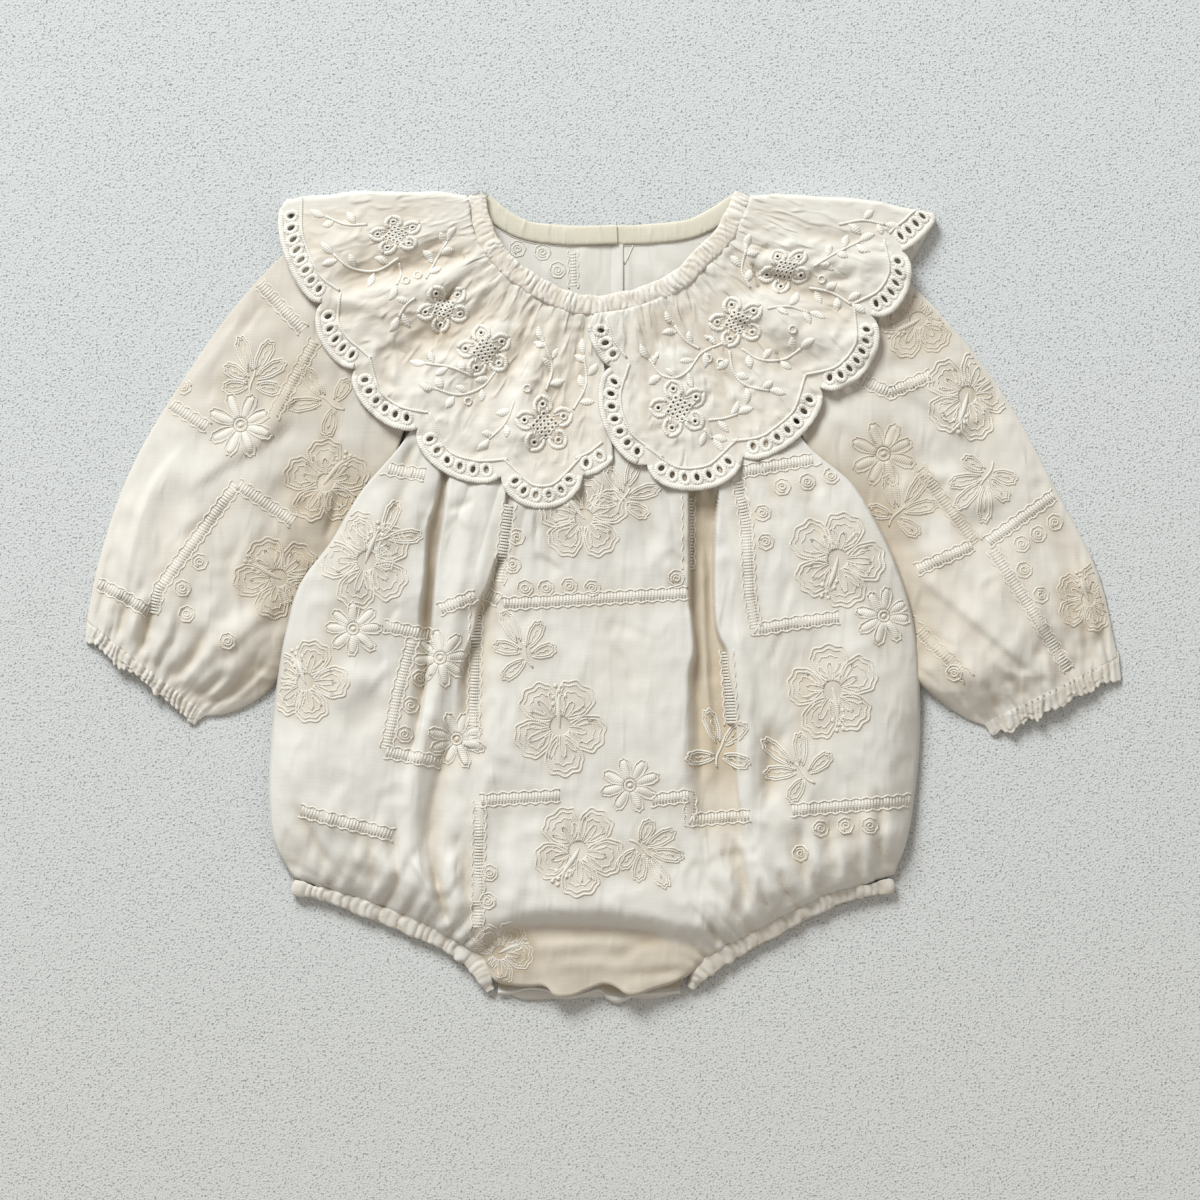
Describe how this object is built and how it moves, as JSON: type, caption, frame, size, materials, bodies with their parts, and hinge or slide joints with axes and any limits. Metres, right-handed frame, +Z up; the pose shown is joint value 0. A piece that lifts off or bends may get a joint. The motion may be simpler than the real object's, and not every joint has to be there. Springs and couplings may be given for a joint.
{
  "type": "baby romper",
  "caption": "Long-sleeved bubble romper in cream embroidered cotton with a wide scalloped eyelet collar and gathered neck, cuffs and legs, laid flat on its back.",
  "frame": {"origin": "centre of the footprint, at the surface the garment lies on", "axes": "+X across the garment towards the sleeve on the right of the view, +Y from the crotch to the neck, +Z up through the front"},
  "size_m": [0.4936, 0.3852, 0.0194],
  "materials": {
    "embroidered_cotton": "cream embroidered cotton lawn, matte",
    "eyelet_cotton": "cream eyelet embroidered cotton, matte",
    "neck_binding": "pale yellow cream cotton binding, matte",
    "fastener_plastic": "cream moulded plastic"
  },
  "bodies": {
    "root": {"body_front": "embroidered_cotton", "body_back_left": "embroidered_cotton", "body_back_right": "embroidered_cotton", "sleeve_left": "embroidered_cotton", "sleeve_right": "embroidered_cotton", "cuff_left": "embroidered_cotton", "cuff_right": "embroidered_cotton", "leg_casing_left": "embroidered_cotton", "leg_casing_right": "embroidered_cotton", "collar_left": "eyelet_cotton", "collar_right": "eyelet_cotton", "neck_casing": "eyelet_cotton", "neck_band_left": "neck_binding", "neck_band_right": "neck_binding", "crotch_strip_front": "embroidered_cotton", "crotch_strip_back": "embroidered_cotton", "crotch_snap_1": "fastener_plastic", "crotch_snap_2": "fastener_plastic", "crotch_snap_3": "fastener_plastic", "neck_button": "fastener_plastic", "back_placket": "embroidered_cotton"}
  },
  "joints": []
}
